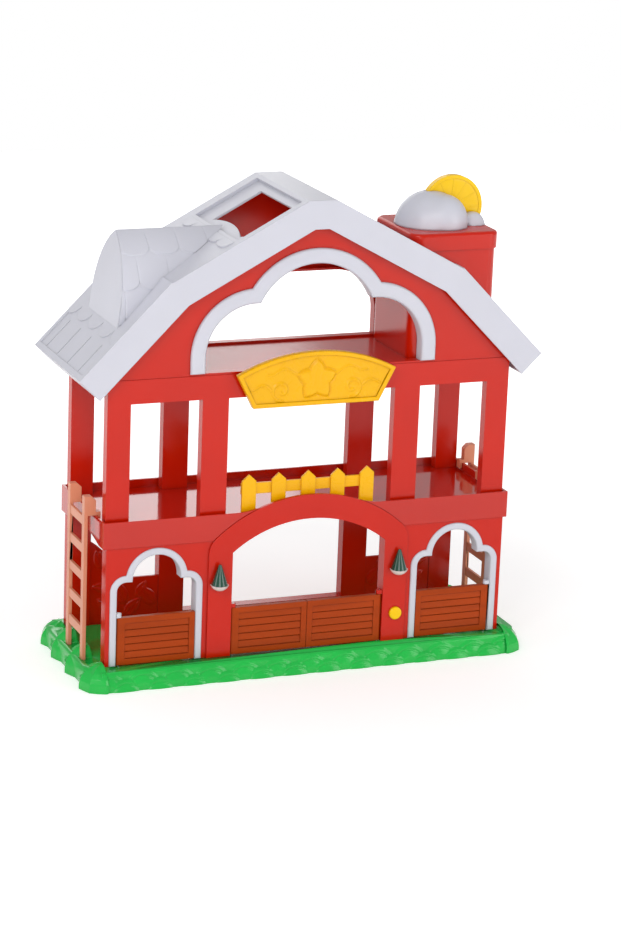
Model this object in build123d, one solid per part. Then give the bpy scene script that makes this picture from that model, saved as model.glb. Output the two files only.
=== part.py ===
"""Toy barn with opening half-doors: a two-storey play barn moulded in coloured plastic.

Millimetres. The origin is the centre of the base's underside, +X is to the right as the barn
is seen from its front, +Y goes to its back and +Z is up. Every piece is its own solid.
"""

import os
from math import cos, hypot, radians, sin, sqrt

from build123d import *

# ---------------------------------------------------------------- mouldings and fits
wall = 2.5                    # plastic thickness of the large mouldings
turning = 0.05                # radial clearance of a journal in its bearing
passing = 0.4                 # clearance between bodies that move past each other
seating = 0.1                 # clearance where one fixed moulding drops into another
relief = 1.0                  # height of raised ornament on a moulding

# ---------------------------------------------------------------- green base
base_margin = 10              # beyond the ends of the walls
base_front_margin = 17        # beyond the walls' front and back faces
base_height = 22
base_corner = 12
hill_reach = 8                # how far the hills stand out of the base's front and back
hill_pitch = 41
hill_radius = 25
hill_dip = 5                  # every other hill is that much lower
hill_slope = 20               # degrees
end_step_reach = 12           # the ends step out to carry the ladders
end_step_setback = 12         # the stepped part stops that short of the base's corners
clump_inset = 9               # middle of the row of grass clumps, in from the base's end
clump_wall_gap = 2            # between the clumps and the ends of the walls
clump_places = [(-74, 26, 25), (-22, 26, 29), (30, 26, 30), (76, 24, 24)]   # y, radius, height

# ---------------------------------------------------------------- ground storey
storey_half_width = 236
wall_face = 75                # distance of the front and back faces from the middle
wall_depth = 14
wall_top = 157
side_door_margin = 4.9        # between a side doorway's trim and the end of the wall

arch_radius = 142.8           # centre doorway
arch_centre_z = 31.7
pilaster_width = 27.8         # raised pilasters and arch band round the centre doorway
pilaster_margin = 5.9         # between a pilaster and a side doorway's trim
band_radius = 165
band_centre_z = 37
band_corner = 25
band_proud = 2.5
ramp_radius = 90              # hollow curve from the arch band down to the deck's rim

door_trim_half_width = 53.35  # white trefoil trims of the side doorways
door_trim_width = 7.8
door_lobe_radius = 18
door_lobe_z = 107.4
door_crown_radius = 35.6
door_crown_z = 118.8
door_trim_proud = 2
sleeve = 2                    # thickness of a trim's sleeve inside its opening

# ---------------------------------------------------------------- half-doors
door_top = 77.3
door_floor_gap = 1
door_thickness = 6
door_border = 6.5
door_recess = 1.5
board_count = 5
board_groove = 0.8
door_meeting_gap = 0.6
hinge_pin_radius = 1.2
hinge_pin_foot_z = 14
hinge_lug_height = 4.5
hinge_lug_gap = 0.4
hinge_inset = 1               # how far the hinge axis lies behind the wall's face, less half a door

# ---------------------------------------------------------------- rear wall
pillar_inset = 7.1            # inner pillars stand back from the centre doorway's jambs
pillar_width = 30.2
corner_pillar_width = 26.4
infill_top = 75
infill_lobe_beyond = 21       # middle of the round lobe by the corner, beyond the wall's end
infill_lobe_z = 50
infill_lobe_radius = 86
infill_thickness = 3
infill_setback = 1
rear_sill_height = 8

# ---------------------------------------------------------------- deck
deck_overhang = 4             # beyond the ends of the walls
deck_front_overhang = 1.5
deck_apron = 3
deck_floor_top = 178
deck_rim = 187
deck_side_rise = 8            # arch cut into the underside of each end

# ---------------------------------------------------------------- picket fence
picket_count = 5
picket_pitch = 35
picket_width = 16.5
picket_thickness = 3
picket_shoulder_z = 219
picket_tip_z = 226.5
fence_rail_low = 203.5
fence_rail_high = 216
fence_rail_thickness = 2.5
fence_setback = 10            # behind the front wall's face
fence_peg = 6

# ---------------------------------------------------------------- upper frames and loft
frame_setback = 5.5           # behind the ground storey's faces
frame_depth = 12
frame_skin = 2.5
beam_low = 316
loft_floor_top = 342.6
loft_floor_thickness = 2.6
loft_seat_gap = 0.1

gable_half_width = 143.6      # white trefoil trim of the front gable
gable_trim_width = 17
gable_lobe_radius = 74
gable_lobe_z = 362.8
gable_crown_radius = 88.5
gable_crown_z = 389.5
gable_foot_z = 345
gable_trim_proud = 3.5
gable_step = 1                # the gable's skin lies back from the beam's face

rear_opening_half_width = 123.5
rear_opening_top = 422.5
rear_opening_corner = 50

# ---------------------------------------------------------------- sign
sign_proud = 12.5             # of the frame's face
sign_half_top = 92.5
sign_half_bottom = 73.5
sign_low = 305.3
sign_shoulder = 342.5
sign_crown = 365.5
sign_rim = 4.8
sign_depth = 8
sign_wall = 2
sign_recess = 1.6
sign_stud_radius = 4
sign_stud_half_spacing = 50
sign_stud_z = 330
star_radius = 24
star_waist = 12
star_z = 334
scroll_radius = 11
scroll_x = 52
scroll_z = 326
scroll_rib = 3.2

# ---------------------------------------------------------------- roof
eave = (270.0, 346.6)         # right-hand corners of the roof's outline, x and z
knee = (169.2, 449.1)
ridge = (16.1, 531.6)
roof_front_overhang = 9.5     # beyond the upper frames' faces
roof_back_overhang = 17.5
roof_skin = 3
fascia = 31.4

slope_border = 7              # raised border of the lower slopes
scallop_pitch = 38
scallop_radius = 19.5
scallop_row_end = 92          # down the slope from the knee
board_start = 98
groove_width = 1.6

dormer_y = -4.5
dormer_half_width = 50
dormer_spring_z = 412
dormer_apex_z = 493
dormer_front_low = (-222.3, 395)     # two points on the leaning front, x and z
dormer_front_high = (-210, 493)
dormer_vault_end = -104

skylight_y = (-61, 37)
skylight_s = (15.8, 80)       # down the upper slope from the ridge
tray_overhang = 1.5           # the sunk tray's ends, beyond the frames' faces
tray_s = (3, 89.6)
tray_depth = 6.5
tray_sunk = 4
skylight_scallop_radius = 122
skylight_scallop_pitch = 92
skylight_scallop_rise = 9
skylight_scallop_y = -6

# ---------------------------------------------------------------- tower, cloud and sun
tower_x = (119, 221)
tower_setback = 14.5          # from the upper frames' faces
tower_top = 481
tower_corner = 12
lid_overhang = 2.2
lid_top = 484
lid_skirt_low = 465
lid_round = 4
roof_gap = 0.4                # between the roof's cut-out and the tower

sun_x = 186.5
sun_z = 502.5
sun_radius = 36
sun_thickness = 8
sun_gap = 1
sun_hub = 8
sun_rim = 4
sun_recess = 0.6
sun_ray_width = 5
sun_rays = 12
axle_radius = 3
cheek = 4
cloud_wall = 2.5
cloud_slot_half = 4.6
cloud_lobes = [(160.5, 0, 40, 38), (170, -15, 28, 36), (170, 15, 28, 34), (209, -11, 14, 14)]
# each lobe: x, y, footprint radius, height

# ---------------------------------------------------------------- lamps, sound unit, screws
lamp_inset = 16.3             # from the centre doorway's jamb
lamp_reach = 7                # of its axis, in front of the wall's face
lamp_apex_z = 131
lamp_rim_z = 108
lamp_rim_radius = 9
lamp_tip_radius = 1.5
lamp_peg_radius = 2
bowl_radius = 10.3
bowl_drop = 7

button_inset = 15.8           # from the centre doorway's jamb
button_z = 54.5
button_radius = 7.3
button_proud = 3.5
button_bore_gap = 0.1
button_flange = 9.5
button_flange_thickness = 1.5
button_spring_radius = 4
spring_wire = 0.7
spring_turns = 4

case_inset = 3.5              # from the centre doorway's jamb
case_width = 32.8
case_z = (29, 72)
case_depth = 24.5
case_wall = 2
board_setback = 14            # of the circuit board, behind the wall's face
board_thickness = 1.6
grille_pitch = 5
grille_hole_radius = 1.2
speaker_radius = 11
speaker_rim = 3
speaker_gap = 2               # between the magnet and the circuit board
speaker_z = 57
cell_radius = 5.8
cell_thickness = 5.2
cell_z = 38
battery_door_width = 22
battery_door_z = (32, 45)

screw_shank = 1.5
screw_head = 3
screw_head_height = 2
screw_length = 7.5
screw_boss = 5
screw_boss_height = 6.5

# ---------------------------------------------------------------- ladders
ladder_standoff = 12          # outer face of the rails, beyond the deck's end
ladder_thickness = 4
rail_width = 8.5
rail_spacing = 52
ladder_top = 209
ladder_foot_z = 7
rung_z = [53.3, 84, 116.4, 148, 180]
rung_height = 10
rung_thickness = 3
hook_low = 190
hook_chamfer = 5
hook_reach = 13
lip_thickness = 3
lip_drop = 6
left_ladder_y = -15
right_ladder_y = 20

# ---------------------------------------------------------------- sizes that follow
base_half_width = storey_half_width + base_margin
base_half_depth = wall_face + base_front_margin
end_step_half_depth = base_half_depth - end_step_setback
clump_x = base_half_width - clump_inset
side_door_centre = storey_half_width - side_door_margin - door_trim_half_width
band_half_width = side_door_centre - door_trim_half_width - pilaster_margin
arch_half_width = band_half_width - pilaster_width
pillar_half_gap = arch_half_width + pillar_inset
deck_half_width = storey_half_width + deck_overhang
deck_half_depth = wall_face + deck_front_overhang
fence_y = -(wall_face - fence_setback)
frame_face = wall_face - frame_setback
sign_face = -(frame_face + sign_proud)
roof_front = -(frame_face + roof_front_overhang)
roof_back = frame_face + roof_back_overhang
tray_y = (-frame_face - tray_overhang, frame_face + tray_overhang)
tower_half_depth = frame_face - tower_setback
lamp_x = arch_half_width + lamp_inset
lamp_axis_y = -(wall_face + lamp_reach)
button_x = arch_half_width + button_inset
case_x = (arch_half_width + case_inset, arch_half_width + case_inset + case_width)
case_back = -wall_face + wall + case_depth
board_y = -wall_face + board_setback
ladder_outer = deck_half_width + ladder_standoff
wall_back = wall_face - wall_depth
deck_floor_low = deck_floor_top - wall
spigot_half_width = storey_half_width - deck_apron - 1
spigot_face = deck_half_depth - deck_apron
band_face = wall_face + band_proud
frame_back = frame_face - frame_depth
loft_floor_low = loft_floor_top - loft_floor_thickness
door_opening_x = door_trim_half_width - door_trim_width
hinge_y = -(wall_face + hinge_inset - door_thickness / 2)
barrel_radius = door_thickness / 2
centre_hinge_x = arch_half_width - passing - barrel_radius
side_hinge_x = side_door_centre + door_opening_x - passing - barrel_radius
lug_z = (door_top + hinge_lug_gap, door_top + hinge_lug_gap + hinge_lug_height)
corner_pillar = (storey_half_width - corner_pillar_width, storey_half_width)
inner_pillar = (pillar_half_gap, pillar_half_gap + pillar_width)


# ================================================================ solids and sketches
def slab(x, y, z):
    """Box that fills three (low, high) spans."""
    size = [high - low for low, high in (x, y, z)]
    middle = [(low + high) / 2 for low, high in (x, y, z)]
    return Pos(*middle) * Box(*size)


def post(x, y, radius, z):
    """Vertical cylinder over the span z."""
    return Pos(x, y, sum(z) / 2) * Cylinder(radius, z[1] - z[0])


def spindle(x, z, radius, y):
    """Cylinder along Y over the span y."""
    return Pos(x, sum(y) / 2, z) * Rot(90, 0, 0) * Cylinder(radius, y[1] - y[0])


def dome(x, y, z, reach, height, inset=0):
    """Round cap on the level z with the given footprint radius, its skin moved in by inset."""
    radius = (reach ** 2 + height ** 2) / (2 * height)
    ball = Pos(x, y, z + height - radius) * Sphere(radius - inset)
    above = slab((x - 2 * radius, x + 2 * radius), (y - 2 * radius, y + 2 * radius), (z, z + 2 * height))
    return ball & above


def fused(shapes):
    """All shapes of a list as one."""
    whole = shapes[0]
    for shape in shapes[1:]:
        whole = whole + shape
    return whole


def block(x, z):
    """Rectangle that fills two (low, high) spans."""
    return Pos(sum(x) / 2, sum(z) / 2) * Rectangle(x[1] - x[0], z[1] - z[0])


def disc(x, z, radius):
    """Circle about a point."""
    return Pos(x, z) * Circle(radius)


def facade(sketch, y):
    """Solid whose front view is the sketch, over the span y."""
    plane = Plane(origin=(0, y[1], 0), x_dir=(1, 0, 0), z_dir=(0, -1, 0))
    return extrude(plane * sketch, y[1] - y[0], dir=(0, -1, 0))


def flank(sketch, x):
    """Solid whose side view, with Y across and Z up, is the sketch, over the span x."""
    plane = Plane(origin=(x[0], 0, 0), x_dir=(0, 1, 0), z_dir=(1, 0, 0))
    return extrude(plane * sketch, x[1] - x[0], dir=(1, 0, 0))


def mirrored(shape):
    """The same shape on the barn's other side."""
    return mirror(shape, about=Plane.YZ)


def both_sides(shape):
    """A shape and its mirror image across the barn's middle."""
    return shape + mirrored(shape)


def turned_back(shape):
    """The same shape on the barn's back."""
    return mirror(shape, about=Plane.XZ)


def save(node, shape):
    """Writes one piece."""
    export_step(shape, os.path.join("parts", node + ".step"))


# ================================================================ outlines
def trefoil(x, foot, half_width, lobe_radius, lobe_z, crown_radius, crown_z, grow):
    """Three-lobed arch on straight jambs, every edge moved out by grow."""
    lobe_x = half_width - lobe_radius
    jambs = block((x - half_width - grow, x + half_width + grow), (foot, lobe_z))
    middle = block((x - lobe_x, x + lobe_x), (foot, lobe_z + lobe_radius + grow))
    lobes = disc(x - lobe_x, lobe_z, lobe_radius + grow) + disc(x + lobe_x, lobe_z, lobe_radius + grow)
    crown = disc(x, crown_z, crown_radius + grow)
    above = block((x - 2 * half_width, x + 2 * half_width), (foot, crown_z + 2 * crown_radius))
    return (jambs + middle + lobes + crown) & above


def side_doorway(x, grow, foot=base_height):
    """Outline of a side doorway's trim, moved out by grow."""
    return trefoil(x, foot, door_trim_half_width, door_lobe_radius, door_lobe_z,
                   door_crown_radius, door_crown_z, grow)


def gable_arch(grow, foot=gable_foot_z):
    """Outline of the front gable's trim, moved out by grow."""
    return trefoil(0, foot, gable_half_width, gable_lobe_radius, gable_lobe_z,
                   gable_crown_radius, gable_crown_z, grow)


def centre_arch(grow, foot=0):
    """Outline of the centre doorway, moved out by grow."""
    half = arch_half_width + grow
    return block((-half, half), (foot, arch_centre_z + 2 * arch_radius)) \
        & disc(0, arch_centre_z, arch_radius + grow)


def arch_band(grow=0):
    """Outer outline of the raised band round the centre doorway."""
    half = band_half_width + grow
    outline = block((-half, half), (base_height, band_centre_z + 2 * band_radius))
    outline = outline & disc(0, band_centre_z, band_radius + grow)
    shoulders = [corner for corner in outline.vertices() if corner.Y > 2 * base_height]
    return fillet(shoulders, band_corner + grow)


def slope_normal(low, high):
    """Outward unit normal of a right-hand slope between two corners."""
    run, rise = low[0] - high[0], high[1] - low[1]
    return rise / hypot(run, rise), run / hypot(run, rise)


lower_normal = slope_normal(eave, knee)
upper_normal = slope_normal(knee, ridge)


def mitre(corner, first, second, depth):
    """A roof corner moved depth into the roof, square to both slopes that meet there."""
    share = depth / (1 + first[0] * second[0] + first[1] * second[1])
    return corner[0] - share * (first[0] + second[0]), corner[1] - share * (first[1] + second[1])


def roof_corners(depth):
    """Right-hand eave, knee and ridge corners, depth below the roof's surface."""
    low = (eave[0] - depth * lower_normal[0], eave[1] - depth * lower_normal[1])
    bend = mitre(knee, lower_normal, upper_normal, depth)
    return [low, bend, mitre(ridge, upper_normal, (0, 1), depth)]


def other_side(points):
    """Mirror image of a run of points, in the opposite order."""
    return [(-x, z) for x, z in reversed(points)]


def roof_layer(top, bottom):
    """Front view of the roof between two depths below its surface."""
    outer, inner = roof_corners(top), roof_corners(bottom)
    return Polygon(*outer, *other_side(outer), *reversed(other_side(inner)), *reversed(inner), align=None)


def under_roof(depth):
    """Front view of everything that is more than depth below the roof's surface."""
    right = roof_corners(depth)
    return Polygon((right[0][0], 0), *right, *other_side(right), (-right[0][0], 0), align=None)


def slope_plane(corner, normal):
    """Plane on a left-hand slope: local X is the barn's Y, local Y runs down the slope."""
    return Plane(origin=(-corner[0], 0, corner[1]), x_dir=(0, 1, 0), z_dir=(-normal[0], 0, normal[1]))


def on_slope(corner, normal, sketch, depth):
    """Solid on a left-hand slope between two depths below its surface; height is negative depth."""
    plane = slope_plane(corner, normal)
    placed = plane.offset(-depth[1]) * sketch
    return extrude(placed, depth[1] - depth[0], dir=plane.z_dir)


# ================================================================ base
def grass_clumps(inset=0):
    """Round tufts at the right-hand end, cut off clear of the walls that stand inside."""
    clumps = fused([dome(clump_x, y, 0, radius, height, inset) for y, radius, height in clump_places])
    inner_x = storey_half_width + clump_wall_gap
    depth = base_half_depth + 2 * hill_reach
    return clumps - slab((0, inner_x + inset), (-depth, depth), (-1, 2 * base_height))


def base_block(inset=0):
    """The base's plain outline with its stepped ends, every face moved in by inset."""
    plate = RectangleRounded(2 * (base_half_width - inset), 2 * (base_half_depth - inset), base_corner)
    step = RectangleRounded(2 * (base_half_width + end_step_reach - inset),
                            2 * (end_step_half_depth - inset), base_corner)
    return extrude(plate + step, base_height - inset)


def hill_row():
    """Overlapping round hills along the base's front, each sloping out to the ground."""
    half_count = int((base_half_width - hill_radius) / hill_pitch)
    front = Plane(origin=(0, -base_half_depth + wall, 0), x_dir=(1, 0, 0), z_dir=(0, -1, 0))
    hills = []
    for index in range(-half_count, half_count + 1):
        top = base_height - hill_dip * (index % 2)
        outline = front * disc(index * hill_pitch, top - hill_radius, hill_radius)
        hills.append(extrude(outline, hill_reach + wall, taper=hill_slope))
    above = slab((-base_half_width, base_half_width), (-base_half_depth - hill_reach, -base_half_depth + wall),
                 (0, base_height))
    return fused(hills) & above


def screw_places():
    """Where the base's screws go up into the walls, x and y on the right-hand side."""
    front_y = -(wall_back + wall_depth / 2 - 1)
    rear_y = wall_back + wall_depth / 2
    jamb = side_door_centre - door_opening_x - sleeve
    outer = (side_door_centre + door_opening_x + sleeve + storey_half_width) / 2
    return [((arch_half_width + jamb) / 2, front_y), (outer, front_y),
            (sum(inner_pillar) / 2, rear_y), (sum(corner_pillar) / 2, rear_y)]


def ladder_rails(y):
    """Middles of a ladder's two rails."""
    return [y - rail_spacing / 2, y + rail_spacing / 2]


def rail_span(y, grow=0):
    """Span along Y of a rail about its middle."""
    return y - rail_width / 2 - grow, y + rail_width / 2 + grow


def ladder_sockets(side, ladder_y, grow, z):
    """Blocks round a ladder's two feet, on the side +1 or -1."""
    x = [side * (ladder_outer + grow), side * (ladder_outer - ladder_thickness - grow)]
    return [slab((min(x), max(x)), rail_span(y, grow), z) for y in ladder_rails(ladder_y)]


def base_plate():
    """Hollow green moulding that everything stands on."""
    hills = hill_row()
    body = base_block() + both_sides(grass_clumps()) + hills + turned_back(hills)
    hollow = base_block(wall) + both_sides(grass_clumps(wall))
    body -= hollow
    for side, y in ((-1, left_ladder_y), (1, right_ladder_y)):
        for socket in ladder_sockets(side, y, passing + wall, (0, base_height)):
            body += socket
        top = base_height + max(height for _, _, height in clump_places)
        for pocket in ladder_sockets(side, y, passing, (ladder_foot_z - passing, top)):
            body -= pocket
    for x in (centre_hinge_x, side_hinge_x):
        for side in (-1, 1):
            body += post(side * x, hinge_y, hinge_pin_radius + wall,
                         (hinge_pin_foot_z - wall, base_height - wall / 2))
            body -= post(side * x, hinge_y, hinge_pin_radius, (hinge_pin_foot_z, base_height + 1))
    for x, y in screw_places():
        for side in (-1, 1):
            body -= post(side * x, y, screw_shank, (0, base_height + 1))
    return body


def base_screws():
    """Pan-head screws from below, through the base into the walls' bosses."""
    screws = []
    head_z = base_height - wall
    for x, y in screw_places():
        for side in (-1, 1):
            head = post(side * x, y, screw_head, (head_z - screw_head_height, head_z))
            shank = post(side * x, y, screw_shank, (head_z, head_z + screw_length))
            screws.append((head + shank).solid())
    return Compound(children=screws)


# ================================================================ ground storey
def wall_bosses(front):
    """Bosses inside the walls for the base's screws, and their holes."""
    bosses, holes = [], []
    for x, y in screw_places():
        if (y < 0) == front:
            for side in (-1, 1):
                span = (base_height, base_height + screw_boss_height)
                bosses.append(post(side * x, y, screw_boss, span))
                holes.append(post(side * x, y, screw_shank, span))
    return bosses, holes


def front_wall():
    """Front wall: a skin with returns, the raised arch band and the spigot under the deck."""
    doorways = side_doorway(side_door_centre, -door_trim_width + sleeve)
    doorways += side_doorway(-side_door_centre, -door_trim_width + sleeve)
    doorways += centre_arch(0)
    inner_doorways = side_doorway(side_door_centre, -door_trim_width + sleeve + wall, 0)
    inner_doorways += side_doorway(-side_door_centre, -door_trim_width + sleeve + wall, 0)
    inner_doorways += centre_arch(wall)

    lower = block((-storey_half_width, storey_half_width), (base_height, wall_top))
    spigot = block((-spigot_half_width, spigot_half_width), (wall_top, deck_floor_low))
    body = facade(lower - doorways, (-wall_face, -wall_back))
    body += facade(spigot - doorways, (-spigot_face, -wall_back))
    body += facade(arch_band() - centre_arch(0), (-band_face, -spigot_face))

    inside = storey_half_width - wall
    lower_hollow = block((-inside, inside), (base_height + wall, wall_top - wall))
    inside = spigot_half_width - wall
    spigot_hollow = block((-inside, inside), (wall_top - wall, deck_floor_low - wall))
    body -= facade(lower_hollow - inner_doorways, (-wall_face + wall, -wall_back + 1))
    body -= facade(spigot_hollow - inner_doorways, (-spigot_face + wall, -wall_back + 1))

    bosses, holes = wall_bosses(front=True)
    body += bosses
    body -= holes
    through = (-band_face - 1, -wall_face + wall + 1)
    for side in (-1, 1):
        body += hinge_lug(side * centre_hinge_x, side * (arch_half_width + 1))
        body -= spindle(side * lamp_x, lamp_peg_z(), lamp_peg_radius, through)
    body -= spindle(button_x, button_z, button_radius + button_bore_gap, through)
    return body


def hinge_lug(x, jamb_x):
    """Ear on a jamb that holds the top of a hinge pin."""
    ear = post(x, hinge_y, barrel_radius, lug_z)
    ear += slab((min(x, jamb_x), max(x, jamb_x)), (hinge_y - barrel_radius, hinge_y + barrel_radius), lug_z)
    return ear - post(x, hinge_y, hinge_pin_radius, lug_z)


def door_trim(side):
    """White trefoil trim: a flange on the wall's face and a sleeve through the opening."""
    x = side * side_door_centre
    below = base_height - 1
    opening = side_doorway(x, -door_trim_width, below)
    flange = side_doorway(x, 0) - opening
    liner = side_doorway(x, -door_trim_width + sleeve) - opening
    trim = facade(flange, (-wall_face - door_trim_proud, -wall_face))
    trim += facade(liner, (-wall_face - door_trim_proud / 2, -wall_back))
    jamb = side * (side_door_centre + door_opening_x + sleeve / 2)
    return trim + hinge_lug(side * side_hinge_x, jamb)


def half_door(hinge_x, free_x):
    """Boarded half-door with its hinge barrel moulded along one edge."""
    face_y, back_y = hinge_y - door_thickness / 2, hinge_y + door_thickness / 2
    low, high = min(hinge_x, free_x), max(hinge_x, free_x)
    z = (base_height + door_floor_gap, door_top)
    door = slab((low, high), (face_y, back_y), z) + post(hinge_x, hinge_y, barrel_radius, z)
    panel_x = (low + door_border, high - door_border)
    panel_z = (z[0] + door_border, z[1] - door_border)
    door -= slab(panel_x, (face_y, face_y + door_recess), panel_z)
    door -= slab(panel_x, (back_y - door_recess, back_y), panel_z)
    board = (panel_z[1] - panel_z[0]) / board_count
    for index in range(1, board_count):
        z_groove = panel_z[0] + index * board
        cut_y = face_y + door_recess
        groove_z = (z_groove - board_groove / 2, z_groove + board_groove / 2)
        door -= slab(panel_x, (cut_y, cut_y + board_groove), groove_z)
    return door - post(hinge_x, hinge_y, hinge_pin_radius + turning, z)


def door_hinge_pins():
    """Four steel pins, each from its socket in the base to the lug above its door."""
    places = (-side_hinge_x, -centre_hinge_x, centre_hinge_x, side_hinge_x)
    pins = [post(x, hinge_y, hinge_pin_radius, (hinge_pin_foot_z, lug_z[1])).solid() for x in places]
    return Compound(children=pins)


def infill_outline():
    """Low panel between a corner pillar and an inner one, with a round lobe by the corner."""
    inner, outer = inner_pillar[1] - 1, corner_pillar[0] + 1
    panel = block((inner, outer), (base_height, infill_top))
    lobe = disc(storey_half_width + infill_lobe_beyond, infill_lobe_z, infill_lobe_radius)
    return panel + (lobe & block((inner, outer), (infill_top - 1, wall_top)))


def rear_wall():
    """Rear wall: hollow pillars, low panels between them and an open middle bay."""
    span = (wall_back, wall_face)
    outline = block(inner_pillar, (base_height, wall_top)) + block(corner_pillar, (base_height, wall_top))
    body = facade(both_sides(outline), span)
    sill_z = (base_height, base_height + rear_sill_height)
    body += slab((-pillar_half_gap - 1, pillar_half_gap + 1), span, sill_z)
    panel_y = wall_back + infill_setback
    body += facade(both_sides(infill_outline()), (panel_y, panel_y + infill_thickness))
    spigot = (wall_back, spigot_face)
    body += slab((-spigot_half_width, spigot_half_width), spigot, (wall_top - wall, deck_floor_low))

    core_y = (wall_back + wall, wall_face - wall)
    for low, high in (inner_pillar, corner_pillar):
        for side in (-1, 1):
            x = sorted((side * (low + wall), side * (high - wall)))
            body -= slab(x, core_y, (base_height - 1, wall_top - 2 * wall))
    body -= slab((-pillar_half_gap, pillar_half_gap), core_y, (base_height - 1, sill_z[1] - wall))
    trough = spigot_half_width - wall
    body -= slab((-trough, trough), (wall_back + wall, spigot_face - wall), (wall_top, deck_floor_low + 1))

    bosses, holes = wall_bosses(front=False)
    body += bosses
    body -= holes
    return body


# ================================================================ deck and fence
def deck_ramps():
    """Hollow-curved fillets that lead the deck's rim up to the arch band."""
    centre_z = deck_rim + ramp_radius
    centre_x = sqrt((band_radius + ramp_radius) ** 2 - (centre_z - band_centre_z) ** 2)
    share = band_radius / (band_radius + ramp_radius)
    top_z = band_centre_z + (centre_z - band_centre_z) * share
    corner = block((0, centre_x), (deck_rim - 1, top_z))
    return both_sides(corner - disc(centre_x, centre_z, ramp_radius))


def deck():
    """Upper floor with a rim all round, fitted like a lid over the ground storey."""
    low = (-deck_half_width, deck_half_width)
    depth = (-deck_half_depth, deck_half_depth)
    body = slab(low, depth, (wall_top, deck_rim))
    body += facade(deck_ramps(), (-deck_half_depth, -spigot_face))
    inner_x = (-deck_half_width + deck_apron, deck_half_width - deck_apron)
    inner_y = (-spigot_face, spigot_face)
    body -= slab(inner_x, inner_y, (wall_top - 1, deck_floor_low))
    body -= slab(inner_x, inner_y, (deck_floor_top, deck_rim + 20))
    body -= facade(arch_band(seating), (-deck_half_depth - 1, -spigot_face))

    half = spigot_face - wall_depth
    radius = (half ** 2 + deck_side_rise ** 2) / (2 * deck_side_rise)
    ends = (-deck_half_width - 1, deck_half_width + 1)
    body -= flank(disc(0, wall_top + deck_side_rise - radius, radius), ends)
    for socket in post_tenons(seating, deck_floor_low - 1) + fence_pegs(seating, deck_floor_low - 1):
        body -= socket
    return body


def post_tenons(grow, low):
    """Tenons under the upper frames' posts, or with grow the sockets for them."""
    inset = wall - grow
    tenons = []
    for x_span in (inner_pillar, corner_pillar):
        for side in (-1, 1):
            x = sorted((side * (x_span[0] + inset), side * (x_span[1] - inset)))
            for y in ((-frame_face + inset, -frame_back - inset), (frame_back + inset, frame_face - inset)):
                tenons.append(slab(x, y, (low, deck_floor_top)))
    return tenons


def picket_x(index):
    """Middle of one picket."""
    return (index - (picket_count - 1) / 2) * picket_pitch


def fence_pegs(grow, low):
    """Pegs under the pickets, or with grow the slots for them."""
    half = picket_thickness / 2 - 0.5 + grow
    reach = fence_peg / 2 + grow
    places = [picket_x(index) for index in range(picket_count)]
    across = (fence_y - half, fence_y + half)
    return [slab((x - reach, x + reach), across, (low, deck_floor_top)) for x in places]


def picket_fence():
    """Yellow fence of pointed pickets on one rail, pegged into the deck."""
    half = picket_width / 2
    y = (fence_y - picket_thickness / 2, fence_y + picket_thickness / 2)
    edge = picket_x(picket_count - 1) + half
    rail = slab((-edge, edge), (y[1] - 0.5, y[1] + fence_rail_thickness), (fence_rail_low, fence_rail_high))
    fence = rail
    for index in range(picket_count):
        x = picket_x(index)
        outline = Polygon((x - half, deck_floor_top), (x + half, deck_floor_top), (x + half, picket_shoulder_z),
                          (x, picket_tip_z), (x - half, picket_shoulder_z), align=None)
        fence += facade(outline, y)
    for peg in fence_pegs(0, deck_floor_low):
        fence += peg
    return fence


# ================================================================ upper frames, loft and trim
def frame_outline():
    """Posts, beam and gable of an upper frame as one front view."""
    posts = block(inner_pillar, (deck_floor_top, beam_low + 1))
    posts += block(corner_pillar, (deck_floor_top, beam_low + 1))
    across = (-storey_half_width, storey_half_width)
    gable = block(across, (beam_low, ridge[1])) & under_roof(roof_skin)
    return both_sides(posts) + gable


def upper_frame(opening, inner_opening, trim_seat):
    """Front frame: hollow posts, a channel beam and a gable skin that lies back except under the trim."""
    skin_y = -frame_face + frame_skin
    open_y = -frame_back + 1
    body = facade(frame_outline() - opening, (-frame_face, -frame_back))
    inside = storey_half_width - wall
    channel = block((-inside, inside), (beam_low + wall, loft_floor_low - wall))
    body -= facade(channel, (skin_y, open_y))
    gable = block((-inside, inside), (loft_floor_top, ridge[1])) & under_roof(roof_skin + wall)
    body -= facade(gable - inner_opening, (skin_y, open_y))
    above = block((-storey_half_width - 1, storey_half_width + 1), (loft_floor_top, ridge[1]))
    body -= facade(above - trim_seat, (-frame_face - 1, -frame_face + gable_step))
    body -= slab((-inside, inside), (skin_y, open_y), (loft_floor_low, loft_floor_top))
    for tenon in post_tenons(0, deck_floor_low)[0::2]:
        body += tenon
    for x_span in (inner_pillar, corner_pillar):
        for side in (-1, 1):
            x = sorted((side * (x_span[0] + 2 * wall), side * (x_span[1] - 2 * wall)))
            body -= slab(x, (-frame_face + 2 * wall, -frame_back - 2 * wall), (deck_floor_low - 1, beam_low))
    return body - skylight_tray(seating) - sign_stud_holes()


def front_gable_frame():
    """Front frame with the trefoil opening."""
    opening = gable_arch(-gable_trim_width + sleeve)
    inner = gable_arch(-gable_trim_width + sleeve + wall, gable_foot_z - wall)
    return upper_frame(opening, inner, gable_arch(0))


def rear_arch(grow, foot):
    """Rear gable's opening: straight jambs with round upper corners, moved out by grow."""
    half = rear_opening_half_width + grow
    corner_x = rear_opening_half_width - rear_opening_corner
    corner_z = rear_opening_top - rear_opening_corner
    top = block((-corner_x, corner_x), (foot, rear_opening_top + grow))
    corners = both_sides(disc(corner_x, corner_z, rear_opening_corner + grow))
    corners &= block((-half, half), (corner_z - 1, rear_opening_top + grow))
    return block((-half, half), (foot, corner_z)) + top + corners


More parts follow.
